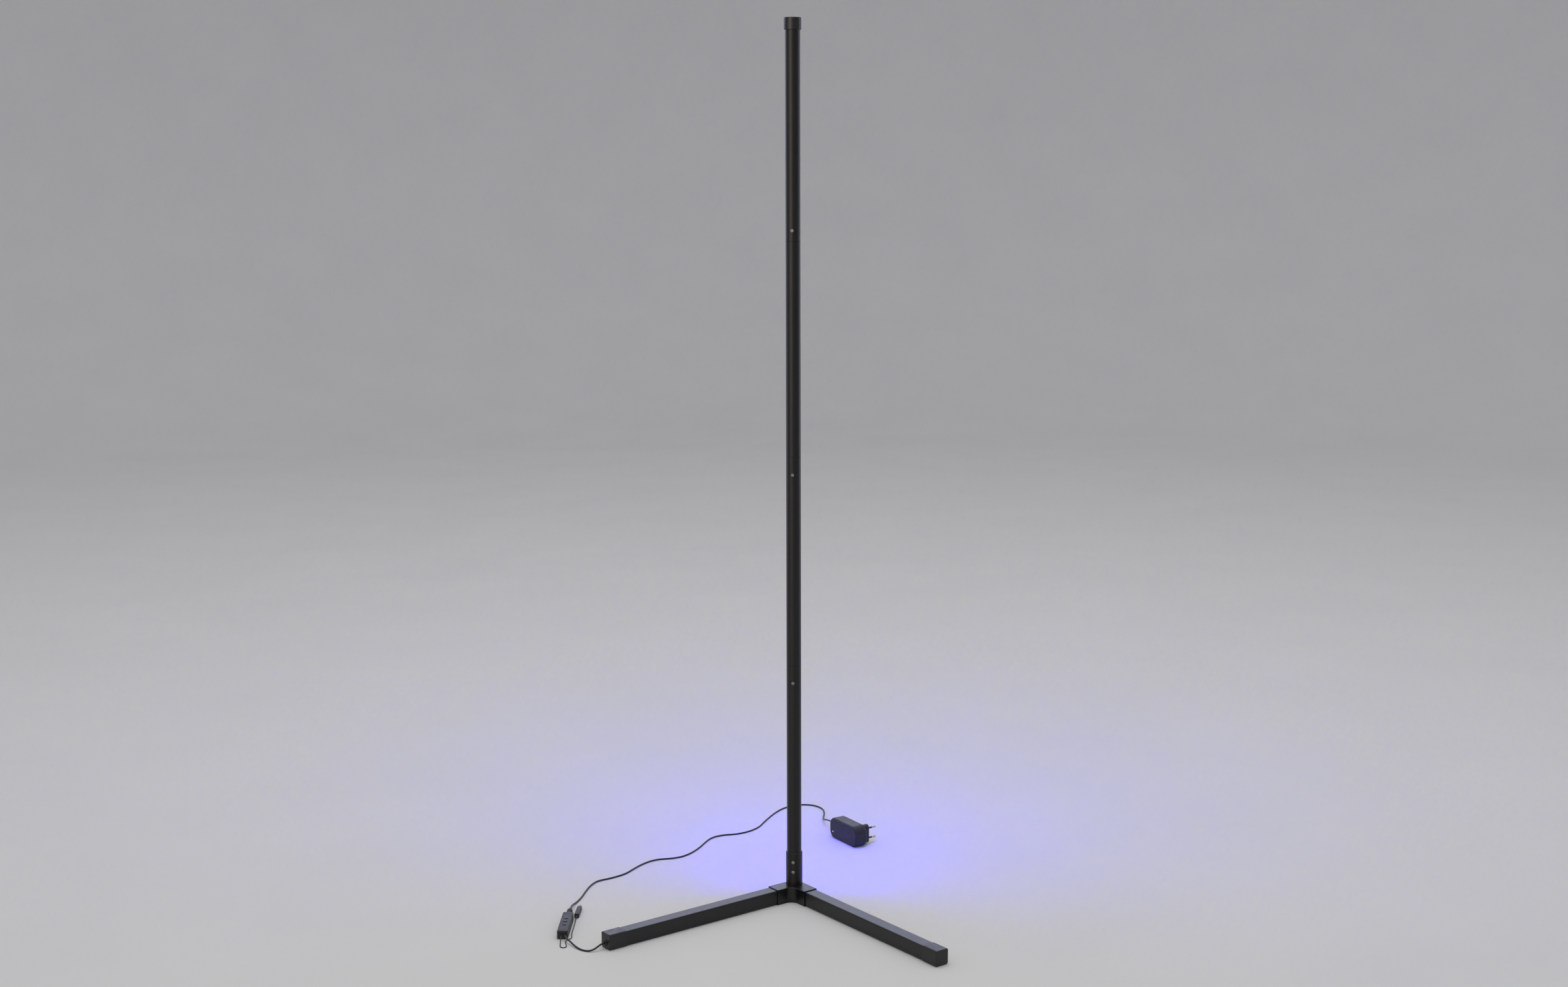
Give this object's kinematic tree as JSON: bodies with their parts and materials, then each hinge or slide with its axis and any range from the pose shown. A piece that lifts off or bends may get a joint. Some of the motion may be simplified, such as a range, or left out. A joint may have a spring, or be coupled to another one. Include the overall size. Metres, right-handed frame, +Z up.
{
  "type": "led corner floor lamp",
  "caption": "Slim black corner floor lamp: round sectional column with a light strip down its back, on a V foot of square legs, with an in-line controller and a plug-in supply.",
  "frame": {"origin": "on the floor, under the column's axis, at the middle of the hub's foot pad", "axes": "+Z up along the column; the legs open towards -Y; the light leaves towards +Y"},
  "size_m": [0.6584, 0.8157, 1.5],
  "materials": {
    "hub_coat": "black coated die-cast corner block, satin",
    "column_black": "black anodised round extrusion, satin",
    "leg_paint": "black powder-coated square steel tube, fine satin texture",
    "cap_plastic": "black moulded plastic, finely textured",
    "black_rubber": "black rubber bush",
    "pad_foam": "black foam rubber pad",
    "screw_steel": "blackened steel screws",
    "tape_white": "white light tape",
    "led_package": "light packages",
    "opal_cover": "opal cover, lit blue-violet",
    "cord_pvc": "black PVC cord",
    "box_plastic": "black moulded ABS",
    "key_plastic": "black key tops",
    "circuit_board": "green solder resist",
    "switch_body": "black moulded component bodies",
    "plug_pvc": "black moulded PVC",
    "dark_lens": "dark infra-red window",
    "adapter_plastic": "black moulded plastic, finely textured",
    "pin_metal": "nickel-plated pins",
    "indicator_lens": "small green indicator",
    "transformer_core": "taped transformer",
    "coupler_metal": "plain aluminium bar"
  },
  "bodies": {
    "lamp": {"base_hub": "hub_coat", "column_sleeve": "column_black", "left_leg": "leg_paint", "right_leg": "leg_paint", "left_end_cap": "cap_plastic", "right_end_cap": "cap_plastic", "cord_grommet": "black_rubber", "foot_pads": "pad_foam", "leg_screws": "screw_steel", "sleeve_screws": "screw_steel", "coupler_screws": "screw_steel", "top_cap": "cap_plastic", "led_tape": "tape_white", "led_chips": "led_package", "diffuser": "opal_cover", "column_lead": "cord_pvc", "controller_base": "box_plastic", "controller_cover": "box_plastic", "controller_board": "circuit_board", "key_switches": "switch_body", "dc_jack": "switch_body", "dc_plug": "plug_pvc", "eye_housing": "box_plastic", "eye_lens": "dark_lens", "adapter_front": "adapter_plastic", "adapter_back": "adapter_plastic", "plug_pins": "pin_metal", "pin_sleeves": "plug_pvc", "adapter_indicator": "indicator_lens", "adapter_board": "circuit_board", "adapter_transformer": "transformer_core", "strain_relief": "plug_pvc", "lamp_cord": "cord_pvc", "eye_lead": "cord_pvc", "adapter_cord": "cord_pvc", "column_section_1": "column_black", "column_section_2": "column_black", "column_section_3": "column_black", "column_section_4": "column_black", "section_coupler_1": "coupler_metal", "section_coupler_2": "coupler_metal", "section_coupler_3": "coupler_metal"},
    "power_key": {"power_key": "key_plastic"},
    "colour_key": {"colour_key": "key_plastic"},
    "mode_key": {"mode_key": "key_plastic"}
  },
  "joints": [
    {"name": "power_key_press", "type": "slide", "parent": "lamp", "child": "power_key", "axis": [0, 0, -1], "range_m": [0, 0.0004], "stiffness_N_per_m": 2500},
    {"name": "colour_key_press", "type": "slide", "parent": "lamp", "child": "colour_key", "axis": [0, 0, -1], "range_m": [0, 0.0004], "stiffness_N_per_m": 2500},
    {"name": "mode_key_press", "type": "slide", "parent": "lamp", "child": "mode_key", "axis": [0, 0, -1], "range_m": [0, 0.0004], "stiffness_N_per_m": 2500}
  ]
}
